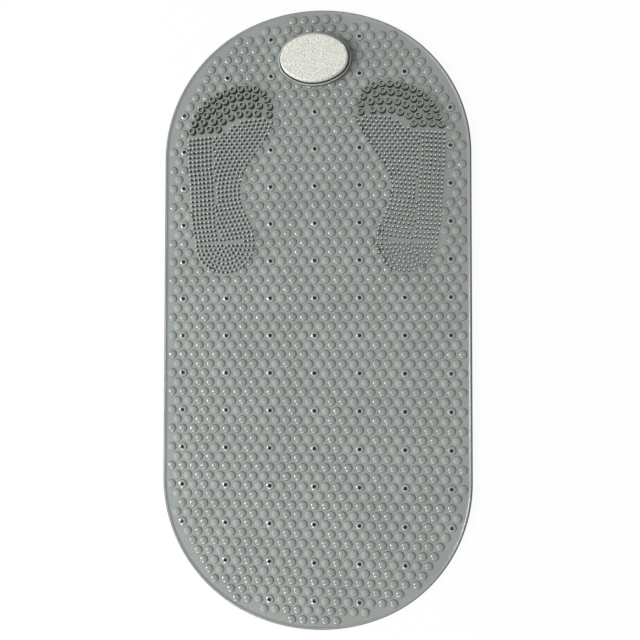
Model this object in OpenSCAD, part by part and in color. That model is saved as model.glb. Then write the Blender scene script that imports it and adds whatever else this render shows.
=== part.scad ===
// Shower foot scrubber: a soft vinyl shower mat with two foot-shaped bristle fields and a pumice stone.
// Millimetres, +Z up. The mat stands on its suction cups at z = 0, its long side along Y and the
// stone at the +Y end.

/* [Mat] */
// Width of the mat over its rim
mat_w = 350; // [334:1:400]
// Length of the mat over its rim
mat_l = 700; // [640:2:800]
// How much the two ends are flattened, 0 being a plain half circle
end_flat = 2; // [0:1:4]
// Thickness of the sheet between the domes
sheet_t = 1.6; // [1.2:0.1:2.5]
// Thickness of the round bead along the edge
rim_d = 3; // [2.6:0.1:4.5]

/* [Domes and drains] */
// Distance from one dome to the next in a row
dome_pitch_x = 12.7; // [11:0.1:16]
// Distance from one row of domes to the next
dome_pitch_y = 10.6; // [10.2:0.1:14]
// Width of a dome at its foot
dome_d = 9.6; // [6:0.1:9.8]
// Height of a dome above the sheet
dome_h = 1.8; // [0.6:0.1:2]
// Smooth border between the edge and the middle of the nearest dome
border_w = 8.5; // [7.5:0.5:20]
// Width of a drain hole
hole_d = 3.6; // [2:0.1:4]

/* [Suction cups] */
// Width of a suction cup at its lip
cup_d = 20; // [14:0.5:22]
// Height of a suction cup
cup_h = 5; // [4.5:0.5:8]
// Width of a suction cup's neck
cup_neck = 9; // [7:0.5:10]
// Thickness of a suction cup's wall
cup_wall = 1.2; // [1:0.1:1.6]

/* [Foot fields] */
// Length of a foot field from heel to toes
foot_l = 214; // [190:1:225]
// Distance from the middle of the mat to the middle of a heel
heel_x = 103.5; // [99:0.5:106]
// Distance from the stone's end of the mat to the middle of a heel
heel_end = 266; // [250:1:290]
// Height of a fine bristle above the sheet
bristle_h = 7.5; // [3:0.5:9]
// Width of a fine bristle at its root
bristle_d = 2.6; // [2:0.1:3]
// Width of a fine bristle at its tip
bristle_tip = 1.7; // [0.8:0.1:1.8]
// Distance between lines of bristles
bristle_gap_x = 4.75; // [4.4:0.05:7]
// Distance between bristles along a line
bristle_gap_y = 5.1; // [4.4:0.05:7]
// Height of a toe stud above the sheet
stud_h = 8; // [4:0.5:9]
// Width of a toe stud
stud_d = 6.4; // [5:0.1:7]
// Width of the dish in the top of a toe stud
stud_bore = 3.8; // [2:0.1:4.2]
// Depth of the dish in the top of a toe stud
stud_dish = 2.5; // [0.5:0.1:3]

/* [Stone and collar] */
// Length of the pumice stone
stone_l = 77.5; // [70:0.5:90]
// Width of the pumice stone
stone_w = 55; // [48:0.5:62]
// Thickness of the pumice stone
stone_t = 12; // [9:0.5:16]
// Rounding of the pumice stone's top edge
stone_round = 4; // [2:0.5:6]
// Distance from the end of the mat to the middle of the stone
stone_end_d = 57.5; // [52:0.5:64]
// Play between the stone and its collar
stone_play = 0.7; // [0.3:0.1:1.5]
// Thickness of the collar's wall
collar_wall = 2; // [1.6:0.1:3]
// Height of the collar above the sheet
collar_h = 6; // [4:0.5:8]

/* [Hidden] */
$fa = 3;
$fs = 0.8;

sheet_z = cup_h;
top_z = sheet_z + sheet_t;
// Raised parts are rooted this deep in the sheet.
root = 0.3;
// Every second band of the sheet is this much thinner, so that no single face carries all the domes.
band_step = 0.02;
// Past the end of anything that is cut to an angle.
far = 200;
rim_r = rim_d / 2;
rim_z = sheet_z + sheet_t * 0.6;

// Each end of the outline is a flat crown arc between two shoulder arcs. The arcs meet in the
// directions of a 5-12-13 triangle, so their centres and radii stay round numbers.
crown_dir = [5, 12];
shoulder_x = 5 * end_flat;
shoulder_r = mat_w / 2 - shoulder_x;
crown_r = shoulder_r + 13 * end_flat;
crown_y = mat_l / 2 - crown_r;
shoulder_y = crown_y + 12 * end_flat;

stone_y = mat_l / 2 - stone_end_d;

// A band is four rows of domes with the sheet under them.
band_w = 4 * dome_pitch_y;
band_n = ceil(mat_l / 2 / band_w);
stone_band = floor((stone_y - stone_w / 2 - collar_wall - 2) / band_w + 0.375);

// The +X foot, in millimetres of a 214 mm foot. u runs outwards and v towards the toes from the
// middle of the heel, which is round. The other foot mirrors it.
foot_k = foot_l / 214;
heel_y = mat_l / 2 - heel_end;
heel_0 = 33;
heel_r = heel_0 * foot_k;
// The outer edge as u over v, and the edge along the arch as a line of points.
outer_edge = [[0, heel_0], [13, 35.3], [20, 36.8], [36, 38], [76, 40], [88, 41.7], [124, 42.2]];
arch_edge = [[-heel_0, 0], [-31.3, 14], [-24.8, 29], [-18.4, 42], [-15.7, 52], [-15, 61], [-16.6, 72],
    [-19.6, 81.5], [-24.5, 91], [-30.7, 99], [-43.2, 116], [-48.8, 125.5], [-56, 142]];
inner_edge = [for (p = arch_edge) [p.y, p.x]];
// Where the fine bristles end below the toes, as v over u.
ball_edge = [[-56, 141], [-28, 142], [-16.5, 141.5], [-3.5, 129], [6.5, 125], [43.5, 121.5]];
// This many lines of bristles follow the outer edge, each a little further on than the one before,
// and the rest follow the arch.
outer_lines = 6;
line_shift = 0.08;
// Lines that the toe studs stand on, outermost first, and how many studs each line carries.
toe_lines = [
    [[39, 130], [33.5, 147], [23, 161], [7.5, 171], [-9, 176.5], [-26, 178.5], [-35, 177],
     [-43.5, 172], [-48.5, 164], [-51.5, 155.5], [-51, 147]],
    [[29, 131.5], [22.5, 148], [9, 159.5], [-7.5, 167], [-25.5, 169.5], [-34.5, 167]],
    [[18.5, 132], [9.5, 148], [-6.5, 156.5], [-23.5, 159], [-39.5, 158]],
    [[8.5, 132], [2.5, 142], [-15.5, 148.5], [-37.5, 148.5]]];
toe_counts = [16, 10, 8, 6];
toe_c = [-6.5, 130];
toe_reach = [for (p = toe_lines[0]) let (d = p - toe_c) [atan2(d.y, d.x), norm(d)]];

function outer(v) = foot_k * lookup(v / foot_k, outer_edge);
function inner(v) = foot_k * lookup(v / foot_k, inner_edge);
function ball(u) = foot_k * lookup(u / foot_k, ball_edge);

// How far a point lies inside the outline of the mat.
function inset(x, y) = let (u = abs(x), v = abs(y))
    v < shoulder_y ? mat_w / 2 - u :
    crown_dir.y * u < crown_dir.x * (v - crown_y) ? crown_r - norm([u, v - crown_y]) :
    shoulder_r - norm([u - shoulder_x, v - shoulder_y]);

// Does a foot field keep a dome away from this point?
function in_foot(x, y) = let (u = abs(x) - heel_x, v = y - heel_y, d = [u, v] / foot_k - toe_c)
    v < 0 ? norm([u, v]) < heel_r + 0.3 :
    d.y < 0 ? u < outer(v) + 3.8 && u > inner(v) - 0.3 :
    norm(d) < lookup(atan2(d.y, d.x), toe_reach) + 2;

function in_collar(x, y) = norm([x / (stone_l / 2 - 1), (y - stone_y) / (stone_w / 2 - 1)]) < 1;

// Point at distance s along a line of points, the length of such a line, and the line moved
// sideways by d.
function walk(p, s, i = 0) = let (d = norm(p[i + 1] - p[i]))
    s <= d || i == len(p) - 2 ? p[i] + (p[i + 1] - p[i]) * s / d : walk(p, s - d, i + 1);
function line_l(p, i = 0) = i == len(p) - 1 ? 0 : norm(p[i + 1] - p[i]) + line_l(p, i + 1);
function moved(p, d) = [for (i = [0 : len(p) - 1])
    let (t = p[min(i + 1, len(p) - 1)] - p[max(i - 1, 0)]) p[i] + d * [t.y, -t.x] / norm(t)];

// Fine bristles of the +X foot: rings round the heel, lines that follow the outer edge, and lines
// that follow the arch until they meet those.
bristles = concat(
    [for (n = [0 : floor(heel_r / bristle_gap_x)])
        let (r = heel_r - n * bristle_gap_x, c = round(PI * r / bristle_gap_y))
        for (i = [0 : 1 : c - 1]) let (a = 180 + 180 * (i + 0.5) / c) [r * cos(a), r * sin(a)]],
    [for (n = [0 : outer_lines - 1], k = [0 : ceil(125 * foot_k / bristle_gap_y)])
        let (v = (k + 0.5 + n * line_shift) * bristle_gap_y, u = outer(v) - n * bristle_gap_x)
        if (v < ball(u)) [u, v]],
    [for (n = [0 : ceil(100 * foot_k / bristle_gap_x)])
        let (line = moved(foot_k * arch_edge, n * bristle_gap_x))
        for (s = [0.7 * bristle_gap_y : bristle_gap_y : line_l(line)]) let (p = walk(line, s))
            if (p.y > bristle_gap_y * 0.4 && p.y < ball(p.x)
                && p.x < outer(p.y) - (outer_lines - 0.3) * bristle_gap_x) p]);

studs = [for (r = [0 : len(toe_lines) - 1], i = [0 : toe_counts[r] - 1])
    foot_k * walk(toe_lines[r], line_l(toe_lines[r]) * i / (toe_counts[r] - 1))];

// Wedge with its point at p that opens between the directions a and b.
module wedge(p, a, b) {
    polygon([p, p + far * a, p + far * b]);
}

// Turned body about p with the profile given as children, cut to a wedge.
module turned_wedge(p, a, b) {
    intersection() {
        translate([p.x, p.y, 0]) rotate_extrude() children();
        translate([0, 0, -far]) linear_extrude(2 * far) wedge(p, a, b);
    }
}

// Outline of the mat, drawn d inside its edge.
module outline(d) {
    square([mat_w - 2 * d, 2 * shoulder_y], center = true);
    for (s = [-1, 1]) scale([1, s]) {
        intersection() {
            translate([0, crown_y]) circle(crown_r - d);
            wedge([0, crown_y], crown_dir, [-crown_dir.x, crown_dir.y]);
        }
        for (t = [-1, 1]) scale([t, 1]) intersection() {
            translate([shoulder_x, shoulder_y]) circle(shoulder_r - d);
            wedge([shoulder_x, shoulder_y], [12, 0], crown_dir);
        }
    }
}

// Round bead that closes the edge of the sheet.
module rim() {
    for (t = [-1, 1]) translate([t * (mat_w / 2 - rim_r), 0, rim_z]) rotate([90, 0, 0])
        cylinder(r = rim_r, h = 2 * shoulder_y, center = true);
    for (s = [-1, 1]) scale([1, s, 1]) {
        turned_wedge([0, crown_y], crown_dir, [-crown_dir.x, crown_dir.y])
            translate([crown_r - rim_r, rim_z]) circle(rim_r);
        for (t = [-1, 1]) scale([t, 1, 1])
            turned_wedge([shoulder_x, shoulder_y], [12, 0], crown_dir)
                translate([shoulder_r - rim_r, rim_z]) circle(rim_r);
    }
}

// Low cap with two slopes and a flat middle.
module dome() {
    r = dome_d / 2;
    translate([0, 0, top_z]) rotate_extrude() polygon([
        [0, -root], [r + root, -root], [r, 0], [r * 0.72, dome_h * 0.7], [r * 0.36, dome_h],
        [0, dome_h]]);
}

// Shallow bell, hollow below, with a thin lip that grips the floor.
module cup() {
    r = cup_d / 2;
    n = cup_neck / 2;
    rotate_extrude() polygon([
        [0, cup_h + root], [n, cup_h + root], [n, cup_h - 0.8], [r - cup_wall, 1.6], [r, 0.5], [r, 0],
        [r - 0.9, 0], [r - 2 * cup_wall, 1], [n - cup_wall, cup_h - cup_wall - 1],
        [0, cup_h - cup_wall - 1]]);
}

// One band: the sheet, its domes, the suction cups below it and its drain holes.
module band(j) {
    spots = [for (k = [4 * j - 1 : 4 * j + 2], m = [-18 : 18])
        let (x = (m + (k % 2 == 0 ? 0 : 0.5)) * dome_pitch_x, y = k * dome_pitch_y)
        if (inset(x, y) > border_w && !in_foot(x, y) && !in_collar(x, y)) [x, y, k, m]];
    difference() {
        union() {
            translate([0, 0, sheet_z]) linear_extrude(sheet_t - abs(j % 2) * band_step) intersection() {
                outline(rim_r);
                translate([-mat_w, (j - 0.375) * band_w]) square([2 * mat_w, band_w]);
            }
            for (p = spots) translate([p.x, p.y]) dome();
            for (m = [-4 : 3]) let (x = (4 * m + 2) * dome_pitch_x, y = j * band_w)
                if (inset(x, y) > cup_d / 2 + rim_d) translate([x, y]) cup();
        }
        // The last row of the band has a drain hole in every fourth dome.
        for (p = spots) if (p[2] == 4 * j + 2 && p[3] % 4 == 0)
            translate([p.x, p.y, sheet_z - 1]) cylinder(d = hole_d, h = sheet_t + dome_h + 2);
    }
}

module bristle() {
    translate([0, 0, top_z - root]) cylinder(d1 = bristle_d, d2 = bristle_tip, h = bristle_h + root);
}

// Thick toe stud with a dished top.
module stud() {
    r = stud_d / 2;
    b = stud_bore / 2;
    translate([0, 0, top_z]) rotate_extrude() polygon([
        [0, -root], [r + 0.5, -root], [r, 1], [r, stud_h - 0.4], [r - 0.4, stud_h], [b, stud_h],
        [b - 0.4, stud_h - stud_dish], [0, stud_h - stud_dish]]);
}

module foot_fields() {
    for (s = [-1, 1]) {
        for (p = bristles) translate([s * (heel_x + p.x), heel_y + p.y]) bristle();
        for (p = studs) translate([s * (heel_x + p.x), heel_y + p.y]) stud();
    }
}

// The stone's oval is four arcs that meet in the directions of a 3-4-5 triangle.
oval_k = (stone_l - stone_w) / 4;
end_x = 3 * oval_k;
side_y = 4 * oval_k;
end_r = stone_w / 2 - oval_k;
side_r = end_r + 5 * oval_k;

// The oval with its edge moved out by d.
module oval(d) {
    for (s = [-1, 1]) {
        intersection() {
            translate([0, -s * side_y]) circle(side_r + d);
            wedge([0, -s * side_y], [3, s * 4], [-3, s * 4]);
        }
        intersection() {
            translate([s * end_x, 0]) circle(end_r + d);
            wedge([s * end_x, 0], [s * 3, 4], [s * 3, -4]);
        }
    }
}

// Section of the collar from the middle of an arc outwards, where the stone's edge is at distance d.
module collar_section(d) {
    r = d + stone_play + collar_wall;
    h = collar_h;
    polygon([[0, -root], [r + 1, -root], [r, 1.2], [r, h - 0.7], [r - 0.7, h], [0, h]]);
}

module collar() {
    translate([0, stone_y, top_z]) for (s = [-1, 1]) {
        turned_wedge([0, -s * side_y], [3, s * 4], [-3, s * 4]) collar_section(side_r);
        turned_wedge([s * end_x, 0], [s * 3, 4], [s * 3, -4]) collar_section(end_r);
    }
}

// The bands under the stone, with the collar and the clear floor inside it.
module stone_bands() {
    difference() {
        union() {
            for (j = [stone_band : band_n]) band(j);
            collar();
        }
        translate([0, stone_y, top_z]) linear_extrude(collar_h + 5) oval(stone_play);
    }
}

module mat() {
    color([0.56, 0.59, 0.56]) {
        union() for (j = [-band_n : 0]) band(j);
        union() {
            for (j = [1 : stone_band - 1]) band(j);
            foot_fields();
        }
        stone_bands();
        rim();
    }
}

// Section of the stone from the middle of an arc to its edge at distance r.
module stone_section(r) {
    square([r - stone_round, stone_t]);
    square([r, stone_t - stone_round]);
    translate([r - stone_round, stone_t - stone_round]) circle(stone_round);
}

module pumice_stone() {
    color([0.86, 0.85, 0.8]) translate([0, stone_y, top_z]) for (s = [-1, 1]) {
        turned_wedge([0, -s * side_y], [3, s * 4], [-3, s * 4]) stone_section(side_r);
        turned_wedge([s * end_x, 0], [s * 3, 4], [s * 3, -4]) stone_section(end_r);
    }
}

mat();
pumice_stone();
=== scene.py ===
# %% [markdown]
# # A shower mat that scrubs the feet
# The real mat is one soft vinyl moulding. Its top carries low grip domes, drain holes, two
# foot-shaped fields of bristles with thicker studs under the toes, and a collar that holds an oval
# pumice stone. Its underside carries suction cups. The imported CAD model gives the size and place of
# everything. This script dresses it: every form is worked out again as a smooth numpy surface, and
# each gets the finish of the real material.

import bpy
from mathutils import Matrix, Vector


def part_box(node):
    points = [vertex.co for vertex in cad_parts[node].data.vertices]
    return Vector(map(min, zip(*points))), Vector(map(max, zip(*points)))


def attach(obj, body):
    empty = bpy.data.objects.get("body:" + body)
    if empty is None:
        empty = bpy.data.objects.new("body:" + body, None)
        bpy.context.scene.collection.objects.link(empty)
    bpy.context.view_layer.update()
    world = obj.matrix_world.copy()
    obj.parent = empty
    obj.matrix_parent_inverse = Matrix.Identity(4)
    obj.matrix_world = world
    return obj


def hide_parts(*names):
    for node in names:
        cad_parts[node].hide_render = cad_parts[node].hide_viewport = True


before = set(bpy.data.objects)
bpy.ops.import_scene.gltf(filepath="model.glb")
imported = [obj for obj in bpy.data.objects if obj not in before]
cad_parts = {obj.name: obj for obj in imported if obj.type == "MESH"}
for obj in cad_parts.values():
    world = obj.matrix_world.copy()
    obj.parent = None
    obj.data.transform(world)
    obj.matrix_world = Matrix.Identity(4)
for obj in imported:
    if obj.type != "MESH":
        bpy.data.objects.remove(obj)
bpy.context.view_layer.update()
print("CAD nodes:", sorted(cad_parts))

# %% Tools and units
import math

import bpy
import mathutils
import numpy as np

MM = 0.001      # the numbers below are millimetres, and Blender's are metres
rng = np.random.default_rng(7)
low, high = (np.array(corner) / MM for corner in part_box("mat"))
print("mat, mm:", np.round(high - low, 1))

# %% [markdown]
# ## The camera
# The photograph looks almost straight down. The camera's three axes and its lens were solved from
# the drain holes, which stand on an even grid. The axes are the columns of a rotation matrix:
# right, up and back, which is the way from the subject to the camera.

# %% Camera
camera_axes = mathutils.Matrix([
    (0.99224, 0.00271, 0.12435),
    (0.00120, 0.99951, -0.03133),
    (-0.12437, 0.03123, 0.99174)])
eye = mathutils.Vector((126.9, -34.2, 971.0)) * MM
camera_data = bpy.data.cameras.new("camera")
camera_data.lens = 48.44
camera_data.sensor_width = 36
camera = bpy.data.objects.new("camera", camera_data)
camera.matrix_world = mathutils.Matrix.Translation(eye) @ camera_axes.to_4x4()
bpy.context.scene.collection.objects.link(camera)
bpy.context.scene.camera = camera
print("camera", round(eye.z, 3), "m above the floor")

# %% [markdown]
# ## Two ways to make a surface
# Nearly everything on the mat is one of two things. A small turned form, such as a dome, a bristle
# or a cup, is a profile spun round an upright axis and then stamped at many places. A long edge,
# such as the bead or the collar, is a section carried along an outline. Both give a grid of points,
# and a grid of points gives its four-sided faces by counting.

# %% Faces of a grid
def grid_faces(rows, columns, closed_rows=False):
    """Quads of a grid of points, row by row, that closes on itself round its columns.

    Corner numbers are row * columns + column. The last column joins the first, and with
    closed_rows the last row joins the first too.
    """
    row = np.arange(rows if closed_rows else rows - 1)[:, None]
    column = np.arange(columns)[None, :]
    here, above = row * columns, (row + 1) % rows * columns
    beside = (column + 1) % columns
    corners = np.broadcast_arrays(here + column, here + beside, above + beside, above + column)
    return np.stack(corners, axis=-1).reshape(-1, 4)


def fan(ring, pole):
    """Triangles from each step of a closed ring of corner numbers to one pole point."""
    return np.stack([ring, np.roll(ring, -1), np.full(len(ring), pole)], axis=-1)


print("faces of 3 rows of 8 points:", len(grid_faces(3, 8)), " with closed rows:",
      len(grid_faces(3, 8, closed_rows=True)), " of a fan:", len(fan(np.arange(8), 8)))


# %% A turned form and a carried section
def turned(profile, sectors, closed=False):
    """A profile of (radius, height) pairs spun round the Z axis, bottom up on the outside.

    The point at step k and sector a is (radius_k cos a, radius_k sin a, height_k). A pair with
    radius 0 at either end is one pole point with a fan of triangles. With closed, the profile is
    a ring.
    """
    profile = np.asarray(profile, float)
    angle = np.arange(sectors) * (2 * np.pi / sectors)
    circle = np.stack([np.cos(angle), np.sin(angle)], axis=-1)
    wide = profile[profile[:, 0] > 0]
    ring = wide[:, None, :1] * circle[None]
    height = np.broadcast_to(wide[:, None, 1:], ring.shape[:2] + (1,))
    points = [np.concatenate([ring, height], axis=-1).reshape(-1, 3)]
    first = np.arange(sectors)
    fans, count = [], len(wide) * sectors
    if profile[0, 0] == 0:
        points.append([[0, 0, profile[0, 1]]])
        fans.append(fan(first, count)[:, (1, 0, 2)])
        count += 1
    if profile[-1, 0] == 0:
        points.append([[0, 0, profile[-1, 1]]])
        fans.append(fan((len(wide) - 1) * sectors + first, count))
    faces = [grid_faces(len(wide), sectors, closed)] + ([np.concatenate(fans)] if fans else [])
    return np.concatenate(points), faces


def carried(section, path, facing):
    """A closed section of (inset, height) pairs carried along a closed path.

    The point at step k of the section and step i of the path is path_i - inset_k * facing_i, at
    height_k. The section runs up its outer side and back down its inner side.
    """
    section = np.asarray(section, float)
    flat = path[None] - section[:, None, :1] * facing[None]
    height = np.broadcast_to(section[:, None, 1:], flat.shape[:2] + (1,))
    points = np.concatenate([flat, height], axis=-1)
    return points.reshape(-1, 3), [grid_faces(len(section), len(path), closed_rows=True)]


def stamped(points, faces, places, lean=None):
    """Copies of one small shape. A copy's point is its place plus the shape's point, and with
    lean, a sideways shift that grows with the point's height."""
    places = np.asarray(places, float)
    copies = points[None] + np.pad(places, ((0, 0), (0, 3 - places.shape[1])))[:, None]
    if lean is not None:
        copies[..., :2] += lean[:, None, :] * (points[None, :, 2:] - points[:, 2].min())
    shift = np.arange(len(places))[:, None, None] * len(points)
    return copies.reshape(-1, 3), [(f[None] + shift).reshape(-1, f.shape[1]) for f in faces]


print("points of a turned peg of 8 sectors:", len(turned([(0, 0), (1, 0), (1, 2), (0, 2)], 8)[0]))


# %% From arrays to a piece
def inside_volume(points, faces):
    """Volume by the divergence theorem: a sixth of the triple products of all fan triangles."""
    total = 0.0
    for f in faces:
        for k in range(1, f.shape[1] - 1):
            a, b, c = points[f[:, 0]], points[f[:, k]], points[f[:, k + 1]]
            total += np.einsum("ij,ij->", a, np.cross(b, c)) / 6
    return total


def piece(name, shape, finish, node="mat", smooth=True):
    """Puts a shape into the scene as a piece that stands for a CAD node. A negative volume means
    that its faces point inwards, so they are turned round."""
    points, faces = shape
    volume = inside_volume(points, faces)
    if volume < 0:
        faces = [f[:, ::-1] for f in faces]
    corners = np.concatenate([f.ravel() for f in faces]).astype(np.int32)
    sizes = np.concatenate([np.full(len(f), f.shape[1]) for f in faces])
    mesh = bpy.data.meshes.new(name)
    mesh.vertices.add(len(points))
    mesh.vertices.foreach_set("co", (points * MM).astype(np.float32).ravel())
    mesh.loops.add(len(corners))
    mesh.loops.foreach_set("vertex_index", corners)
    mesh.polygons.add(len(sizes))
    mesh.polygons.foreach_set("loop_start", (np.cumsum(sizes) - sizes).astype(np.int32))
    mesh.polygons.foreach_set("use_smooth", np.full(len(sizes), smooth))
    mesh.update(calc_edges=True)
    mesh.materials.append(finish)
    made = bpy.data.objects.new(name, mesh)
    bpy.context.scene.collection.objects.link(made)
    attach(made, "root")
    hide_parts(node)
    print(f"{name}: {len(sizes)} faces, {int((sizes - 2).sum())} triangles,",
          f"{abs(volume) / 1000:.1f} cm3")
    return made


print("volume of that peg:",
      round(inside_volume(*turned([(0, 0), (1, 0), (1, 2), (0, 2)], 8)), 2))

# %% [markdown]
# ## Shader maths as plain expressions
# A finish is easier to read when its arithmetic looks like arithmetic. Wire wraps one output
# socket, and adding, subtracting or multiplying wires adds the Math nodes. Everything else comes
# from one method, which sets a node's settings first and then its sockets.

# %% Wires
class Wire:
    """One output socket. Arithmetic on it adds Math nodes to its finish."""

    def __init__(self, finish, socket):
        self.finish, self.socket = finish, socket

    def math(self, operation, *inputs):
        return self.finish.node("Math", {"operation": operation}, dict(enumerate(inputs)))

    def __add__(self, other):
        return self.math("ADD", self, other)

    def __sub__(self, other):
        return self.math("SUBTRACT", self, other)

    def __rsub__(self, other):
        return self.math("SUBTRACT", other, self)

    def __mul__(self, other):
        return self.math("MULTIPLY", self, other)

    def __pow__(self, other):
        return self.math("POWER", self, other)

    __radd__, __rmul__ = __add__, __mul__

    def step(self, start, end):
        """0 below start, 1 above end, smooth between."""
        return self.finish.node("MapRange", {"interpolation_type": "SMOOTHSTEP"},
                                {"Value": self, "From Min": start, "From Max": end})


# %% Finishes
class Finish:
    """The nodes of one surface, or of the world."""

    def __init__(self, owner):
        self.material = bpy.data.materials.new(owner) if isinstance(owner, str) else owner
        self.material.use_nodes = True
        self.tree = self.material.node_tree
        self.tree.nodes.clear()
        self.place = self.node("TexCoord", out="Object")

    def node(self, kind, settings=None, sockets=None, out=0):
        """Any node: its settings, then values or wires into its sockets, then one output."""
        made = self.tree.nodes.new("ShaderNode" + kind)
        for key, value in (settings or {}).items():
            setattr(made, key, value)
        for key, value in (sockets or {}).items():
            if isinstance(value, Wire):
                self.tree.links.new(value.socket, made.inputs[key])
            else:
                made.inputs[key].default_value = value
        return Wire(self, made.outputs[out]) if made.outputs else None

    def axis(self, vector, number):
        """One of a vector's three numbers: 0 for X, 1 for Y and 2 for Z."""
        return self.node("SeparateXYZ", {}, {0: vector}, out=number)

    def noise(self, size_mm, detail=2.0, rough=0.5):
        """Cloudy values round 0.5 whose lumps are about size_mm across."""
        return self.node("TexNoise", {}, {"Vector": self.place, "Scale": 1 / (size_mm * MM),
                                          "Detail": detail, "Roughness": rough})

    def cells(self, size_mm):
        """Distance to the nearest of many scattered points about size_mm apart, in cell widths."""
        return self.node("TexVoronoi", {}, {"Vector": self.place, "Scale": 1 / (size_mm * MM)})

    def height(self):
        """Height above the floor in mm."""
        return self.axis(self.place, 2) * (1 / MM)

    def level(self):
        """1 where the surface lies level and faces up, 0 where it stands upright."""
        return self.axis(self.node("TexCoord", out="Normal"), 2)

    def shown(self):
        """1 for a ray from the camera or through a reflection or a clear piece, else 0."""
        kinds = [self.node("LightPath", out=f"Is {kind} Ray")
                 for kind in ("Camera", "Glossy", "Transmission")]
        return sum(kinds, 0).step(0, 1)

    def blend(self, share, first, second):
        """A colour that goes from first to second with share."""
        return self.node("Mix", {"data_type": "RGBA"}, {0: share, 6: first, 7: second}, out=2)

    def bump(self, height_mm):
        """A normal that follows heights in mm."""
        return self.node("Bump", {}, {"Height": height_mm * MM, "Strength": 1.0, "Distance": 1.0})

    def surface(self, **sockets):
        """Ends the finish with a Principled shader and returns the material."""
        sockets = {name.replace("_", " "): value for name, value in sockets.items()}
        self.node("OutputMaterial", {}, {"Surface": self.node("BsdfPrincipled", {}, sockets)})
        return self.material


# %% [markdown]
# ## The vinyl
# Soft vinyl is moulded in a grey-green that looks a little cloudy, because light goes some way into
# it. The tool was polished under most domes and left matt round the drain holes, so the same
# plastic is glossy in one place and satin in another. Skin that stands upright is painted darker,
# as painted shade. One function makes all of these.

# %% Vinyl finishes
VINYL = (0.287, 0.311, 0.293)


def shade(colour, factor):
    """A colour times a number, with its alpha."""
    return tuple(c * factor for c in colour) + (1.0,)


def vinyl(name, roughness, lightness=1.0, grain=0.006, index=1.5, upright_shade=1.0, turn=(0.35, 0.9)):
    """Cloudy grey-green plastic, colour times lightness, and times a painted shade factor where
    upright.

    The colour mixes clouds 60 mm wide with flecks 4 mm wide. The relief is grain mm high and
    0.5 mm wide, on waves 0.03 mm high and 9 mm wide. The roughness wanders by 0.08 over 25 mm. The
    upright shade fades out between the two levels in turn.
    """
    f = Finish(name)
    cloud = f.noise(60, 3).step(0.35, 0.65)
    fleck = f.noise(4, 3)
    colour = f.blend(cloud * 0.6 + fleck * 0.4, shade(VINYL, 0.94 * lightness),
                     shade(VINYL, 1.06 * lightness))
    if upright_shade < 1:
        # Painted shade: upright skin is made darker.
        colour = f.blend(f.level().step(*turn), shade(VINYL, upright_shade * lightness), colour)
    skin = f.noise(0.5) * grain + f.noise(9) * 0.03
    wear = f.noise(25) * 0.08 + (roughness - 0.04)
    return f.surface(Base_Color=colour, Roughness=wear, Normal=f.bump(skin), IOR=index)


sheet_finish = vinyl("vinyl_sheet", 0.36)
# Painted shade on upright skin, as a share of the colour: glossy domes 0.22, drain lips 0.1, bead and
# cups 0.06, satin domes 0.6, collar 0.4.
glossy_finish = vinyl("vinyl_glossy", 0.15, 0.97, grain=0.001, index=1.9, upright_shade=0.22,
                      turn=(0.42, 0.92))
# Painted light: the drain lips are 1.2 times as light as the vinyl.
lip_finish = vinyl("vinyl_lip", 0.15, 1.2, grain=0.001, index=1.9, upright_shade=0.1, turn=(0.5, 0.9))
edge_finish = vinyl("vinyl_edge", 0.22, 1.0, grain=0.002, upright_shade=0.06, turn=(0.65, 0.96))
satin_finish = vinyl("vinyl_satin", 0.52, 1.03, grain=0.010, upright_shade=0.6)
# Painted light: the collar is 1.35 times as light as the vinyl.
collar_finish = vinyl("vinyl_collar", 0.36, 1.35, upright_shade=0.4)
print("vinyl finishes:", [m.name for m in bpy.data.materials if m.name.startswith("vinyl_")])

# %% [markdown]
# ## The outline
# The mat is a long oblong with rounded ends. A quarter of its edge is a straight side, a shoulder
# arc and a flatter crown arc, which meet without a kink because their centres lie on one line. A
# quarter is sampled finely, mirrored four ways and then spaced out evenly by length. The oval of
# the stone is made the same way from two arcs.

# %% An outline of arcs
def outline(arcs, start, count):
    """count even points and facings on an outline that is the same in all four quarters.

    arcs holds (centre x, centre y, radius, from angle, to angle) from the side to the end. A point
    on an arc is centre + radius * (cos a, sin a), and start is the first point, on the X axis.
    """
    bends = [np.linspace(a, b, 200) for *_, a, b in arcs]
    angle = np.concatenate([[0.0]] + bends)
    x = np.concatenate([[start]] + [arc[0] + arc[2] * np.cos(a) for arc, a in zip(arcs, bends)])
    y = np.concatenate([[0.0]] + [arc[1] + arc[2] * np.sin(a) for arc, a in zip(arcs, bends)])
    run = np.concatenate([[0], np.cumsum(np.hypot(np.diff(x), np.diff(y)))])
    turn = np.arange(count) * 4 / count
    quarter, part = np.floor(turn).astype(int), turn % 1
    part = np.where(quarter % 2 == 1, 1 - part, part) * run[-1]
    side = np.where(np.isin(quarter, (0, 3)), 1, -1)
    end = np.where(quarter < 2, 1, -1)
    sample = np.interp(part, run, angle)
    facing = np.stack([side * np.cos(sample), end * np.sin(sample)], axis=-1)
    points = np.stack([side * np.interp(part, run, x), end * np.interp(part, run, y)], axis=-1)
    return points, facing


half_width, crown_y, crown_r = 175.0, 159.0, 191.0
shoulder_x, shoulder_y, shoulder_r = 10.0, 183.0, 165.0
meet = math.atan2(crown_y - shoulder_y, -shoulder_x) % math.pi
edge, edge_facing = outline([(shoulder_x, shoulder_y, shoulder_r, 0, meet),
                             (0, crown_y, crown_r, meet, math.pi / 2)], half_width, 480)
print("edge, mm:", np.round(np.ptp(edge, axis=0), 2),
      "arcs meet at", round(math.degrees(meet), 2), "degrees")


def inset(x, y):
    """How far a point lies in from the edge: from the side, the shoulder arc or the crown arc."""
    u, v = np.abs(x), np.abs(y)
    crown = crown_r - np.hypot(u, v - crown_y)
    shoulder = shoulder_r - np.hypot(u - shoulder_x, v - shoulder_y)
    on_crown = 12 * u < 5 * (v - crown_y)
    return np.where(v < shoulder_y, half_width - u, np.where(on_crown, crown, shoulder))


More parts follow.
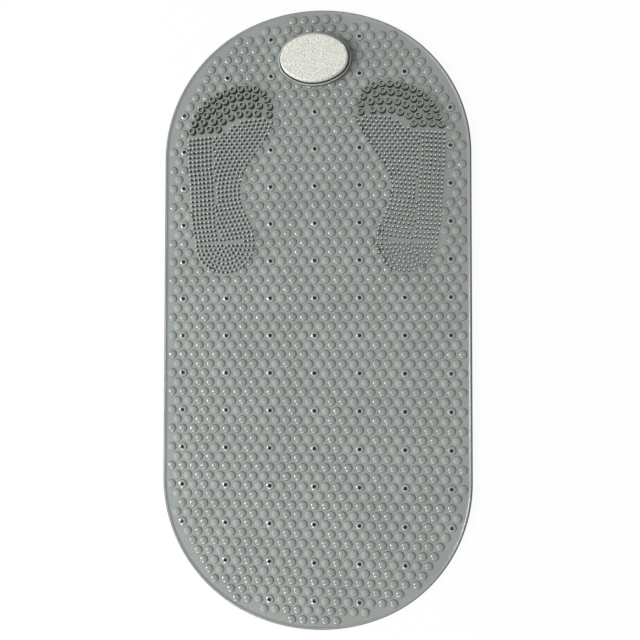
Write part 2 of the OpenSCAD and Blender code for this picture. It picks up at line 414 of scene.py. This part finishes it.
# %% [markdown]
# ## The foot fields
# A foot is a heel of half rings, six lines of bristles that follow the outer edge, more lines that
# follow the arch until they meet those, and four curved lines of studs for the toes. The same rules
# as in the CAD source are written here with arrays. Positions are across and along a foot, from the
# middle of its heel.

# %% The sole in numbers
heel_x, heel_y, heel_r = 103.5, 84.0, 33.0
gap_x, gap_y, outer_lines, line_shift = 4.75, 5.1, 6, 0.08
outer_edge = np.array([(0, heel_r), (13, 35.3), (20, 36.8), (36, 38), (76, 40), (88, 41.7),
                       (124, 42.2)])
arch_edge = np.array([(-heel_r, 0), (-31.3, 14), (-24.8, 29), (-18.4, 42), (-15.7, 52), (-15, 61),
                      (-16.6, 72), (-19.6, 81.5), (-24.5, 91), (-30.7, 99), (-43.2, 116),
                      (-48.8, 125.5), (-56, 142)])
ball_edge = np.array([(-56, 141), (-28, 142), (-16.5, 141.5), (-3.5, 129), (6.5, 125),
                      (43.5, 121.5)])
toe_lines = [
    np.array([(39, 130), (33.5, 147), (23, 161), (7.5, 171), (-9, 176.5), (-26, 178.5), (-35, 177),
              (-43.5, 172), (-48.5, 164), (-51.5, 155.5), (-51, 147)]),
    np.array([(29, 131.5), (22.5, 148), (9, 159.5), (-7.5, 167), (-25.5, 169.5), (-34.5, 167)]),
    np.array([(18.5, 132), (9.5, 148), (-6.5, 156.5), (-23.5, 159), (-39.5, 158)]),
    np.array([(8.5, 132), (2.5, 142), (-15.5, 148.5), (-37.5, 148.5)])]
toe_counts = (16, 10, 8, 6)
print("a foot, mm:", heel_r + toe_lines[0][:, 1].max(), "from heel to toe studs")


# %% Bent lines
def edge_at(table, position):
    """The edge of the sole at a place along it, read between the points of its table."""
    return np.interp(position, table[:, 0], table[:, 1])


def length(line):
    """Distance from the start of a bent line to each of its points."""
    return np.concatenate([[0], np.cumsum(np.hypot(*np.diff(line, axis=0).T))])


def along(line, at):
    """Points at the distances at along a bent line."""
    return np.stack([np.interp(at, length(line), line[:, axis]) for axis in (0, 1)], axis=-1)


def moved(line, distance):
    """A bent line moved sideways: a point goes along the normal of the step past it."""
    beside = np.clip(np.arange(len(line))[:, None] + (-1, 1), 0, len(line) - 1)
    step = np.diff(line[beside], axis=1)[:, 0]
    return line + distance * step[:, ::-1] * (1, -1) / np.linalg.norm(step, axis=1, keepdims=True)


print("outermost line of toe studs, mm:", round(length(toe_lines[0])[-1], 1))

# %% Where the bristles and studs are
fields = []
for n in range(int(heel_r // gap_x) + 1):
    ring_r = heel_r - n * gap_x
    steps = round(math.pi * ring_r / gap_y)
    around = math.pi * (1 + (np.arange(steps) + 0.5) / steps)
    fields.append(ring_r * np.stack([np.cos(around), np.sin(around)], axis=-1))
for n in range(outer_lines):
    v = (np.arange(math.ceil(125 / gap_y) + 1) + 0.5 + n * line_shift) * gap_y
    line = np.stack([edge_at(outer_edge, v) - n * gap_x, v], axis=-1)
    fields.append(line[v < edge_at(ball_edge, line[:, 0])])
for n in range(math.ceil(100 / gap_x) + 1):
    line = moved(arch_edge, n * gap_x)
    line = along(line, np.arange(0.7 * gap_y, length(line)[-1], gap_y))
    u, v = line.T
    fields.append(line[(v > 0.4 * gap_y) & (v < edge_at(ball_edge, u))
                       & (u < edge_at(outer_edge, v) - (outer_lines - 0.3) * gap_x)])
bristle_spots = np.concatenate(fields)
stud_spots = np.concatenate([along(line, np.linspace(0, length(line)[-1], count))
                             for line, count in zip(toe_lines, toe_counts)])
print("bristles a foot:", len(bristle_spots), " studs a foot:", len(stud_spots))


def on_mat(spots, side):
    """Spots of a foot field on the mat: side is 1 for the right foot and -1 for its mirror."""
    return np.stack([side * (heel_x + spots[:, 0]), heel_y + spots[:, 1]], axis=-1)


# %% [markdown]
# ## The lattice of domes
# The domes stand on a staggered lattice, and no dome stands under a foot or the stone. In every
# fourth row, every fourth place is a drain hole. The photograph shows a glossy dome nearly
# everywhere, and a satin one next to each drain hole.

# %% Where the domes are
pitch_x, pitch_y, border = 12.7, 10.6, 8.5
far_row, far_column = 34, 15        # the lattice reaches past the edge this way
drain_step, satin_reach = 4, 13
stone_y, stone_l, stone_w = 292.5, 77.5, 55.0
toe_centre = np.array([-6.5, 130.0])
across, up = (toe_lines[0] - toe_centre).T
toe_angle, toe_reach = np.degrees(np.arctan2(up, across)), np.hypot(across, up)


def in_foot(x, y):
    """True where a dome would stand under a heel disc, a sole between its edges, or the toes."""
    u, v = np.abs(x) - heel_x, y - heel_y
    du, dv = u - toe_centre[0], v - toe_centre[1]
    heel = np.hypot(u, v) < heel_r + 0.3
    sole = (u < edge_at(outer_edge, v) + 3.8) & (u > edge_at(arch_edge[:, ::-1], v) - 0.3)
    toes = np.hypot(du, dv) < np.interp(np.degrees(np.arctan2(dv, du)), toe_angle, toe_reach) + 2
    return np.where(v < 0, heel, np.where(dv < 0, sole, toes))


k, m = (a.ravel() for a in np.meshgrid(np.arange(-far_row, far_row + 1),
                                       np.arange(-far_column, far_column + 1), indexing="ij"))
x, y = (m + np.where(k % 2 == 0, 0, 0.5)) * pitch_x, k * pitch_y
under_stone = np.hypot(x / (stone_l / 2 - 1), (y - stone_y) / (stone_w / 2 - 1)) < 1
kept = (inset(x, y) > border) & ~in_foot(x, y) & ~under_stone
is_drain = kept & (k % drain_step == drain_step // 2) & (m % drain_step == 0)
spots = np.stack([x, y], axis=-1)
drains, domes = spots[is_drain], spots[kept & ~is_drain]
satin = np.linalg.norm(domes[:, None] - drains[None], axis=-1).min(axis=1) < satin_reach
print("domes:", len(domes), " of them satin:", int(satin.sum()), " drain holes:", len(drains))

# %% [markdown]
# ## The sheet
# The sheet is 1.6 mm thick and flat, with 86 holes. A flat region with holes has no simple grid, so
# its outline and the hole circles go into a Delaunay triangulation as fixed edges. The triangles
# inside a hole are dropped. The same triangles serve the top and the underside, and an edge that
# only one triangle uses is on a rim, so a wall goes down from it.

# %% Sheet with drain holes
under_z, top_z, hole_r = 5.0, 6.6, 1.8
sheet_inset, hole_play = 2.2, 0.15      # the sheet ends inside the bead and the drain rings


def holed_sheet(rim, holes, radius, inner, bottom, top, sectors=20):
    """A flat slab: Delaunay triangles between rim and hole circles, twice, and a wall at each rim.

    The inner points lie on the slab and only make its triangles even.
    """
    angle = np.arange(sectors) * (2 * np.pi / sectors)
    circle = radius * np.stack([np.cos(angle), np.sin(angle)], axis=-1)
    loops = [rim] + list(holes[:, None] + circle[None])
    flat = np.concatenate(loops + [inner])
    starts = np.cumsum([0] + [len(loop) for loop in loops])
    edges = [start + np.stack([np.arange(len(loop)), np.roll(np.arange(len(loop)), -1)], axis=-1)
             for start, loop in zip(starts, loops)]
    flat, _, triangles, *_ = mathutils.geometry.delaunay_2d_cdt(
        [mathutils.Vector(p) for p in flat.tolist()], np.concatenate(edges).tolist(), [], 1, 1e-7)
    flat, triangles = np.array([tuple(p) for p in flat]), np.array(triangles)
    middle = flat[triangles].mean(axis=1)
    open_hole = np.linalg.norm(middle[:, None] - holes[None], axis=-1).min(axis=1) < radius
    triangles = triangles[~open_hole]
    count = len(flat)
    one_way = np.concatenate([triangles[:, (i, (i + 1) % 3)] for i in range(3)])
    alone = ~np.isin(one_way @ (count, 1), one_way @ (1, count))
    a, b = one_way[alone].T
    walls = np.stack([b, a, a + count, b + count], axis=-1)
    points = np.concatenate([np.pad(flat, ((0, 0), (0, 1)), constant_values=z)
                             for z in (top, bottom)])
    return points, [np.concatenate([triangles, triangles[:, ::-1] + count]), walls]


piece("mat_sheet", holed_sheet(edge - sheet_inset * edge_facing, drains, hole_r + hole_play, domes,
                               under_z, top_z), sheet_finish, smooth=False)

# %% [markdown]
# ## The edge bead
# A thin sheet would curl and tear at its edge, so the moulding ends in a thick rounded bead. It
# slopes down on its outer side, which is painted almost black as painted shade, rolls over a crest
# that catches the light, and runs into the sheet in a small hollow. The section is carried round the
# outline: heights are given over the insets, from the outside in and back.

# %% Bead round the edge
bead = [(0.6, 4.72), (0.0, 4.65), (-0.38, 4.9), (-0.45, 5.3), (-0.25, 5.8), (0.1, 6.4), (0.5, 6.9),
        (0.9, 7.25), (1.35, 7.44), (1.8, 7.44), (2.3, 7.25), (2.8, 6.95), (3.4, 6.72),
        (4.2, top_z + 0.02), (4.8, top_z - 0.2), (4.8, under_z + 0.2), (4.2, under_z - 0.02),
        (3.4, under_z - 0.12)]
piece("edge_bead", carried(bead, edge, edge_facing), edge_finish)

# %% [markdown]
# ## The grip domes
# A dome rises steeply from the sheet and rolls over into a nearly flat top, which is what gives it
# one small highlight and a dark crescent on the far side; painted shade on its steep skin darkens
# the crescent further. There are over a thousand, so each has only about a hundred faces, and
# smooth shading does the rest.

# %% Domes
dome_r, dome_h, root = 4.9, 1.7, 0.3
satin_wider = 0.15


def dome(radius, sectors=16):
    """A turned cap of height h (1 - s^3.4)^0.8 at the share s of its radius, on a short root that
    is inside the sheet."""
    share = np.array([1, 0.965, 0.88, 0.76, 0.56, 0])
    rise = dome_h * np.maximum(1 - share ** 3.4, 0) ** 0.8
    cap = np.stack([radius * share, top_z + rise], axis=-1)
    return turned(np.concatenate([[(0, top_z - root), (radius, top_z - root)], cap]), sectors)


piece("grip_domes", stamped(*dome(dome_r), domes[~satin]), glossy_finish)
piece("satin_domes", stamped(*dome(dome_r + satin_wider), domes[satin]), satin_finish)

# %% [markdown]
# ## The drain holes
# Each drain hole goes through a dome of its own, so that its lip stands proud and catches the
# light. The turned profile is a ring: up the outside of the dome, over a flat shelf, up the cone of
# the lip, down the bore, and back up inside the sheet.

# %% Drain rings
drain_profile = [(hole_r + 0.5, under_z - 0.05), (hole_r + 0.5, top_z - root),
                 (dome_r, top_z - root), (dome_r, top_z), (4.65, 7.3), (4.3, 7.6), (3.9, 7.66),
                 (3.55, 7.68), (3.35, 7.75), (2.6, 8.08), (2.35, 8.14), (2.1, 8.0), (1.95, 7.6),
                 (1.85, 7.0), (hole_r, 6.0), (hole_r, under_z - 0.05)]
# The lips are painted lighter than the vinyl as painted light, with painted shade in the bore and
# groove.
piece("drain_rings", stamped(*turned(drain_profile, 24, closed=True), drains), lip_finish)

# %% [markdown]
# ## The bristles and the toe studs
# Bristles are thin tapered pegs with a blunt tip, moulded in one with the sheet. No two stand quite
# upright, because the mat was pulled out of its tool while soft, so each leans a little by chance.
# The studs under the toes are short thick tubes with a flat rim. The upright sides of bristles and
# studs are painted dark as painted shade, darkest at the root, and the level tips of the bristles
# are painted far lighter as painted light. Soft vinyl this thin lets light through, so neither
# casts a hard shadow.

# %% Pegs
def peg_finish(name, root_shade, stem_shade, tip, tall):
    """Painted shade darkens upright skin, most at the root; level skin turns to tip."""
    f = Finish(name)
    # Painted shade: the upright skin is dark, darkest at the root.
    side = f.blend(f.height().step(top_z + 1, top_z + tall), root_shade, stem_shade)
    colour = f.blend(f.level().step(0.3, 0.7), side, tip)
    return f.surface(Base_Color=colour, Roughness=0.3 + f.noise(3) * 0.06,
                     Normal=f.bump(f.noise(1.4) * 0.02), IOR=1.5)


def fields_of_pegs(names, profile, sectors, spots, sway, finish):
    """The pegs of the left foot and then the right: the profile is turned and stamped at every
    spot, each peg leaning by chance."""
    peg = turned(np.array(profile) + (0, top_z), sectors)
    for name, side in zip(names, (-1, 1)):
        lean = rng.normal(0, sway, (len(spots), 2))
        made = piece(name, stamped(*peg, on_mat(spots, side), lean), finish)
        made.visible_shadow = False


# %% Bristle fields
bristle_h, bristle_d, bristle_tip = 7.5, 2.6, 1.7
base_r, tip_r = bristle_d / 2, bristle_tip / 2
bristle_profile = [(0, -root), (base_r + 0.3, -root), (base_r + 0.1, 0.5),
                   (base_r * 0.95, bristle_h * 0.45), (tip_r * 1.1, bristle_h - 0.5),
                   (tip_r * 0.8, bristle_h - 0.12), (0, bristle_h)]
# Painted shade on the bristles' sides, 0.08 to 0.5 of the vinyl's colour, and painted light on their
# level tips, 2.4 times it.
bristle_finish = peg_finish("vinyl_bristle", shade(VINYL, 0.08), shade(VINYL, 0.5),
                            shade(VINYL, 2.4), bristle_h)
fields_of_pegs(("bristles_left", "bristles_right"), bristle_profile, 10, bristle_spots, 0.035,
               bristle_finish)

# %% Toe studs
stud_h, stud_r, bore_r, dish = 7.0, 3.7, 2.4, 4.8
stud_profile = [(0, -root), (stud_r + 0.6, -root), (stud_r + 0.5, 0.2), (stud_r + 0.15, 0.7),
                (stud_r, 1.6), (stud_r - 0.1, stud_h - 0.45), (stud_r - 0.25, stud_h - 0.12),
                (stud_r - 0.5, stud_h), (bore_r + 0.25, stud_h), (bore_r + 0.05, stud_h - 0.12),
                (bore_r, stud_h - 0.45), (bore_r - 0.05, stud_h - dish + 0.6),
                (bore_r - 0.1, stud_h - dish + 0.15), (bore_r - 0.35, stud_h - dish),
                (0, stud_h - dish - 0.05)]
# Painted shade on the studs' sides, 0.08 to 0.17 of the vinyl's colour.
stud_finish = peg_finish("vinyl_stud", shade(VINYL, 0.08), shade(VINYL, 0.17),
                         (0.295, 0.303, 0.274, 1), stud_h)
fields_of_pegs(("toe_studs_left", "toe_studs_right"), stud_profile, 22, stud_spots, 0.02,
               stud_finish)

# %% [markdown]
# ## The collar
# The stone is pushed into an oval wall that stands on the sheet. The wall is the stone's own oval
# made larger by a little play, and its section is carried round as the bead's is, with a foot that
# spreads into the sheet and a rounded top.

# %% Collar round the stone
k4 = (stone_l - stone_w) / 4
end_r, side_r = stone_w / 2 - k4, stone_w / 2 + 4 * k4
oval_meet = math.atan2(4, 3)
oval_arcs = [(3 * k4, 0, end_r, 0, oval_meet), (0, -4 * k4, side_r, oval_meet, math.pi / 2)]
oval, oval_facing = outline(oval_arcs, stone_l / 2, 240)
play, wall, collar_h = 1.3, 1.8, 6.0
out = play + wall
collar_section = [(-play, top_z - root), (-out - 1.1, top_z - root), (-out - 1.0, top_z),
                  (-out - 0.45, top_z + 0.35), (-out - 0.1, top_z + 1.0), (-out, top_z + 1.6),
                  (-out, top_z + collar_h - 0.8), (-out + 0.2, top_z + collar_h - 0.25),
                  (-out + 0.65, top_z + collar_h), (-play - 0.45, top_z + collar_h),
                  (-play - 0.1, top_z + collar_h - 0.15), (-play, top_z + collar_h - 0.5)]
# The collar is painted lighter than the vinyl as painted light, and darker where upright as painted
# shade.
piece("stone_collar", carried(collar_section, oval + (0, stone_y), oval_facing), collar_finish)

# %% [markdown]
# ## The suction cups
# The cups under the sheet grip a wet floor. A cup is a thin bell: a neck under the sheet flares out
# to a soft lip. They stand between the drain holes, so that a foot's weight presses them down and
# the water still drains. A cup is left out where it would reach past the bead.

# %% Cups on the underside
cup_r, cup_h, neck_r, cup_wall, cup_inset = 10.0, 5.0, 4.5, 1.2, 13.0
flare = np.linspace(0, 1, 7)
outside = np.stack([cup_r - (cup_r - neck_r) * flare ** 0.55, 0.5 + (cup_h - 0.9) * flare], axis=-1)
inside = outside[::-1] - (cup_wall, 0.35)
cup_profile = np.concatenate([[(0, inside[0, 1] - 0.1)], inside[:-1], [(cup_r - 0.8, 0)],
                              [(cup_r - 0.15, 0)], outside,
                              [(neck_r, cup_h + root), (0, cup_h + root)]])
cup_columns = drain_step * np.arange(-4, 4) + drain_step // 2
cup_rows = drain_step * np.arange(-8, 9)
cup_x, cup_y = (a.ravel() for a in np.meshgrid(cup_columns * pitch_x, cup_rows * pitch_y))
cups = np.stack([cup_x, cup_y], axis=-1)[inset(cup_x, cup_y) > cup_inset]
print("suction cups:", len(cups))
# The cups take the bead's finish, whose painted shade makes their upright and downward skin nearly
# black.
piece("suction_cups", stamped(*turned(cup_profile, 28), cups), edge_finish)

# %% [markdown]
# ## The pumice stone
# Pumice is volcanic foam: pale, dull and full of small holes. Its form is the oval with a rounded
# edge, as rings that shrink to the middle of the top and of the underside. The pores are real
# dents: lattice noise gives every point of space a smooth random value, and where that value is
# high the skin sinks.

# %% Lattice noise
def lattice_noise(points, size, seed):
    """Smooth random values from 0 to 1 in space.

    Each corner of a cube lattice of the given size has a random value, and a point blends its
    eight corners with weights 3t^2 - 2t^3 along each axis.
    """
    table = np.random.default_rng(seed).random(4096)
    cell = np.floor(points / size).astype(int)
    t = points / size - cell
    t = t * t * (3 - 2 * t)
    total = np.zeros(len(points))
    for corner in np.ndindex(2, 2, 2):
        weight = np.prod(np.where(np.array(corner) == 1, t, 1 - t), axis=1)
        mixed = (cell + corner) @ (73, 1019, 3571)
        total += weight * table[mixed % 4096]
    return total


print("lattice noise at three points:", np.round(lattice_noise(np.eye(3), 0.8, 5), 2))


# %% Rounded slab
def slab(around, spokes, thickness, top_round, low_round=1.0):
    """A slab as rings, from the middle of its underside up its side to the middle of its top.

    A ring of the side is around_i - inset * spokes_i at its height. Insets and heights follow a
    quarter circle of low_round, an upright wall and a quarter circle of top_round. A ring of the
    top or the underside is the nearest ring of the side times a share that falls to 0 at the pole.
    """
    corner = np.radians(np.linspace(0, 90, 9))
    low_share, top_share = np.linspace(0, 1, 26)[1:-1], np.linspace(1, 0, 75)[1:-1]
    wall_z = np.linspace(low_round, thickness - top_round, 13)[:-1]
    insets = np.concatenate([low_round * (1 - np.sin(corner[::2])), 0 * wall_z,
                             top_round * (1 - np.cos(corner))])
    heights = np.concatenate([0 * low_share, low_round * (1 - np.cos(corner[::2])), wall_z,
                              thickness - top_round * (1 - np.sin(corner)),
                              thickness + 0 * top_share])
    side = around[None] - insets[:, None, None] * spokes[None]
    rings = np.concatenate([low_share[:, None, None] * side[:1], side,
                            top_share[:, None, None] * side[-1:]])
    height = np.broadcast_to(heights[:, None, None], rings.shape[:2] + (1,))
    points = np.concatenate([rings, height], axis=-1).reshape(-1, 3)
    first, count = np.arange(len(around)), len(points)
    fans = np.concatenate([fan(first, count)[:, (1, 0, 2)],
                           fan(count - len(around) + first, count + 1)])
    points = np.concatenate([points, [(0, 0, 0), (0, 0, thickness)]])
    return points, [grid_faces(len(rings), len(around)), fans]


stone_t, stone_round = 12.0, 2.4
smooth_points, stone_faces = slab(*outline(oval_arcs, stone_l / 2, 400), stone_t, stone_round)
print("stone, mm:", np.round(np.ptp(smooth_points, axis=0), 1))

# %% Pores
half_size = np.array([stone_l, stone_w, stone_t]) / 2
outward = (smooth_points - (0, 0, half_size[2])) * (1 / half_size ** 2)
outward /= np.linalg.norm(outward, axis=1, keepdims=True)
pores = np.clip(lattice_noise(smooth_points, 1.25, 3) - 0.62, 0, 1) * 0.7
fine = np.clip(lattice_noise(smooth_points, 0.8, 5) - 0.55, 0, 1) * 0.6
swell = (lattice_noise(smooth_points, 14, 9) - 0.5) * 0.25
sunk = 0.12 + pores + fine - swell * 0.6
stone_points = smooth_points - outward * sunk[:, None] + (0, stone_y, top_z)
stone_points[:, 2] = np.clip(stone_points[:, 2], top_z, top_z + stone_t)
print("pores, mm deep:", round(sunk.max(), 2), " in the middle:", round(np.median(sunk), 2))

# %% [markdown]
# ## The look of pumice
# The holes that are too small to model are dark specks with a little relief: painted shade for
# the pores, from scattered cells for the round ones and rough noise for the rest. Down in its collar
# the stone hardly gets light, and its colour turns dark there.

# %% Stone
f = Finish("pumice")
pit = f.cells(1.7).step(0.08, 0.34)
grain = f.noise(1.7, 3, 0.8).step(0.38, 0.58)
stone_colour = f.blend(f.noise(12), (0.84, 0.84, 0.765, 1), (0.89, 0.89, 0.82, 1))
# Painted shade: dark specks where small pores would hold shade.
stone_colour = f.blend((1 - pit) * 0.5 + (1 - grain) * 0.5, stone_colour, (0.27, 0.265, 0.225, 1))
above_collar = f.height().step(top_z + collar_h - 1, top_z + collar_h + 1.5)
stone_colour = f.blend(above_collar, (0.14, 0.14, 0.12, 1), stone_colour)
stone_finish = f.surface(Base_Color=stone_colour, Roughness=0.92 - pit * 0.08,
                         Normal=f.bump(pit * 0.16 + grain * 0.10))
piece("scrub_stone", (stone_points, stone_faces), stone_finish, node="pumice_stone")

# %% [markdown]
# ## Floor and light
# The floor is a plain white one. Past the mat's own outline it shows the camera its own white, and
# under the mat it is plain paint, so that the drain holes look dark. The photograph is lit softly
# from the left. A large soft lamp does that and stays out of the reflections. A small lamp in front
# of it and another low beyond the heel end give each dome its two small highlights. The world is
# grey, and white near the horizon where it is seen.

# %% Floor
reach = 20.0            # metres from the middle to each side
floor_mesh = bpy.data.meshes.new("floor")
floor_mesh.from_pydata([(-reach, -reach, 0), (reach, -reach, 0), (reach, reach, 0),
                        (-reach, reach, 0)], [], [(0, 1, 2, 3)])
floor = bpy.data.objects.new("floor", floor_mesh)
bpy.context.scene.collection.objects.link(floor)
f = Finish("floor")
beyond = [f.node("Math", {"operation": "MAXIMUM"}, {0: axis.math("ABSOLUTE", axis) - start * MM,
                                                    1: 0.0})
          for axis, start in ((f.axis(f.place, 0), shoulder_x), (f.axis(f.place, 1), shoulder_y))]
from_middle = (beyond[0] ** 2 + beyond[1] ** 2) ** 0.5
clear = from_middle.step((shoulder_r - 11) * MM, (shoulder_r - 4) * MM)
white = f.node("Emission", {}, {"Color": (1, 1, 1, 1), "Strength": 1.0})
paint = f.node("BsdfDiffuse", {}, {"Color": (0.86, 0.86, 0.86, 1)})
seen = f.node("MixShader", {}, {0: f.shown() * (clear * 0.94 + 0.008), 1: paint, 2: white})
f.node("OutputMaterial", {}, {"Surface": seen})
floor_mesh.materials.append(f.material)
print("floor, m:", 2 * reach, "wide")

# %% World
world = bpy.data.worlds.new("studio")
bpy.context.scene.world = world
f = Finish(world)
upward = f.axis(f.node("TexCoord", out="Generated"), 2)
backdrop = f.shown() * (1 - upward.step(0.2, 0.4))
sky_colour = f.blend(backdrop, (0.38, 0.38, 0.38, 1), (1, 1, 1, 1))
f.node("OutputWorld", {}, {"Surface": f.node("Background", {}, {"Color": sky_colour})})
print("world:", world.name)


# %% Lamps
def softbox(name, at, size, power):
    """A square lamp at a place in metres, turned to face the middle of the mat."""
    data = bpy.data.lights.new(name, "AREA")
    data.shape, data.size, data.size_y, data.energy = "RECTANGLE", size, size, power
    lamp = bpy.data.objects.new(name, data)
    lamp.location = at
    lamp.rotation_euler = (-mathutils.Vector(at)).to_track_quat("-Z", "Y").to_euler()
    bpy.context.scene.collection.objects.link(lamp)
    print(f"{name}: {size} m wide, {power} W")
    return lamp


softbox("lamp_left_soft", (-2.20, -0.20, 1.80), 2.4, 42).visible_glossy = False
softbox("lamp_left", (-2.11, -0.19, 1.73), 0.75, 35)
softbox("lamp_heel", (-0.75, -1.47, 0.91), 0.4, 9.5)
bpy.context.scene.view_settings.view_transform = "Standard"
